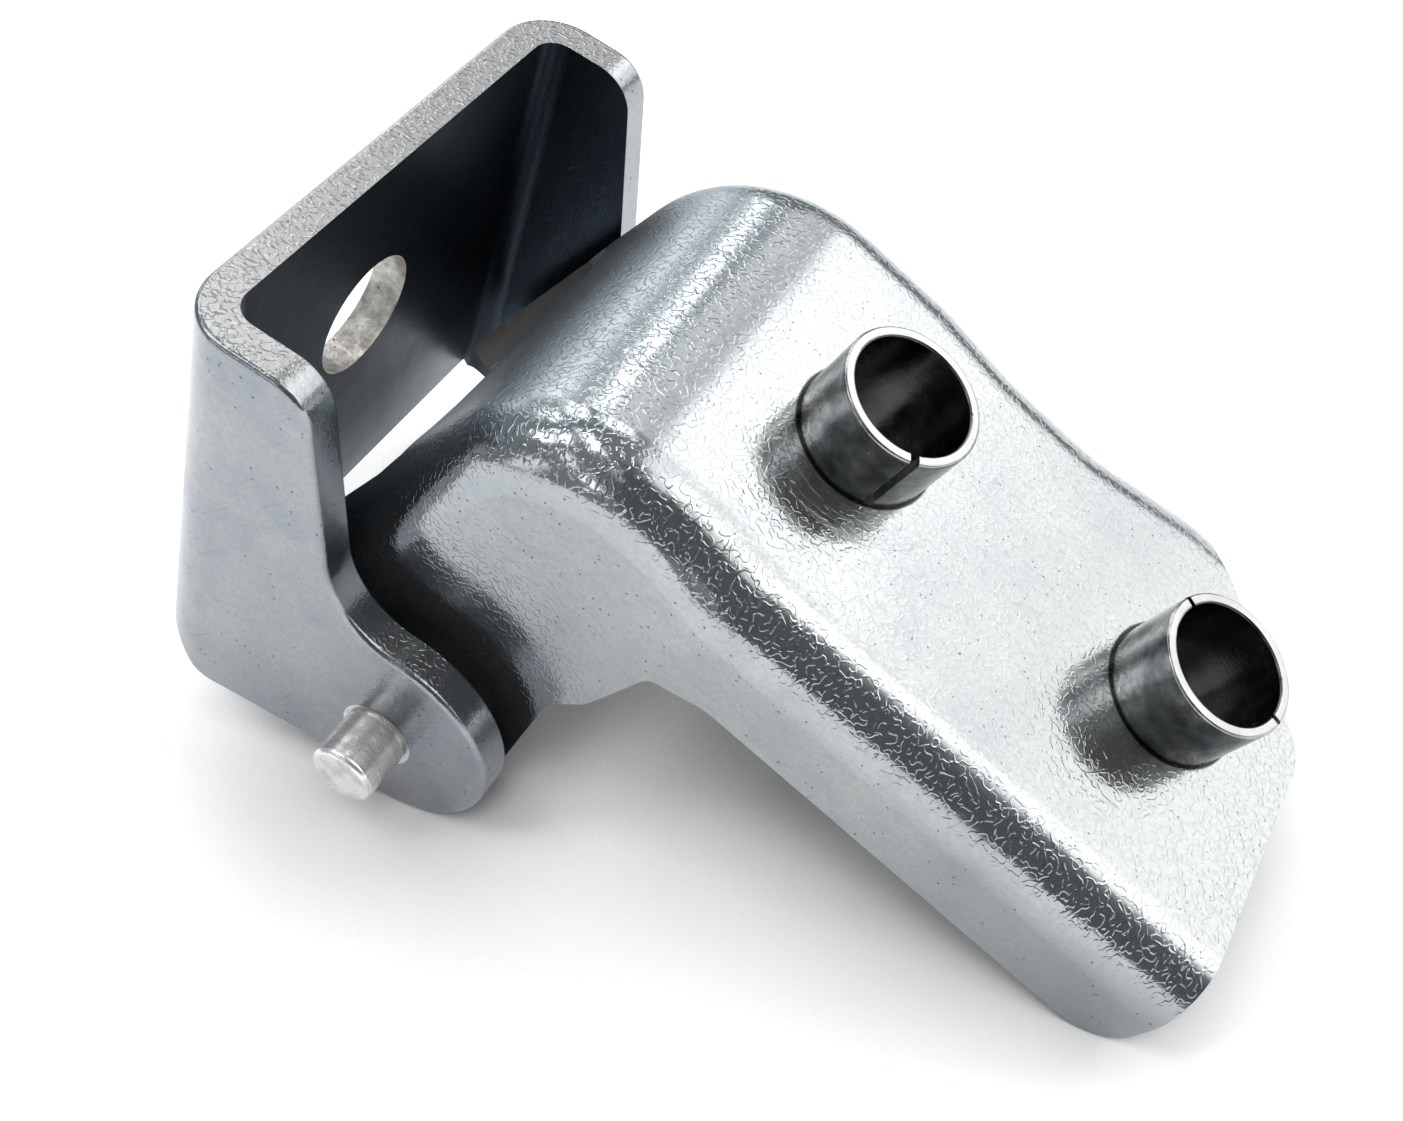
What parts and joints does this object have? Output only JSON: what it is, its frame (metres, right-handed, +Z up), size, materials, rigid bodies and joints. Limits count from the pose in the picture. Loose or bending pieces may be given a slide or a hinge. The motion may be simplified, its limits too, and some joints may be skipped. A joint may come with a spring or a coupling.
{
  "type": "car door hinge",
  "caption": "Pressed steel car door hinge: a U bracket with a bolt hole, a deep drawn leaf with dowel sleeves, and the pin between them.",
  "frame": {"origin": "on the hinge axis, in the middle of the pin's free end where it stands out of the near ear", "axes": "+Y along the pin from its free end towards its head, +Z up from the table the hinge lies on, +X level towards the free end of the leaf"},
  "size_m": [0.1113, 0.0672, 0.0595],
  "materials": {
    "bracket_zinc": "bright zinc plating over pressed steel, slightly blue, fine handling scratches",
    "leaf_zinc": "bright zinc plating over drawn steel, fine grain on the curved parts",
    "pin_steel": "turned steel, bright",
    "bush_bronze": "sintered bronze, dull",
    "sleeve_steel": "dark rolled spring steel with bright rims"
  },
  "bodies": {
    "bracket": {"bracket": "bracket_zinc", "hinge_pin": "pin_steel"},
    "leaf": {"leaf": "leaf_zinc", "bush_near": "bush_bronze", "bush_far": "bush_bronze", "sleeve_crest": "sleeve_steel", "sleeve_end": "sleeve_steel"}
  },
  "joints": [
    {"name": "door_swing", "type": "hinge", "parent": "bracket", "child": "leaf", "pos_m": [0, 0.03235, 0], "axis": [0, 1, 0], "range_deg": [-32, 58]}
  ]
}
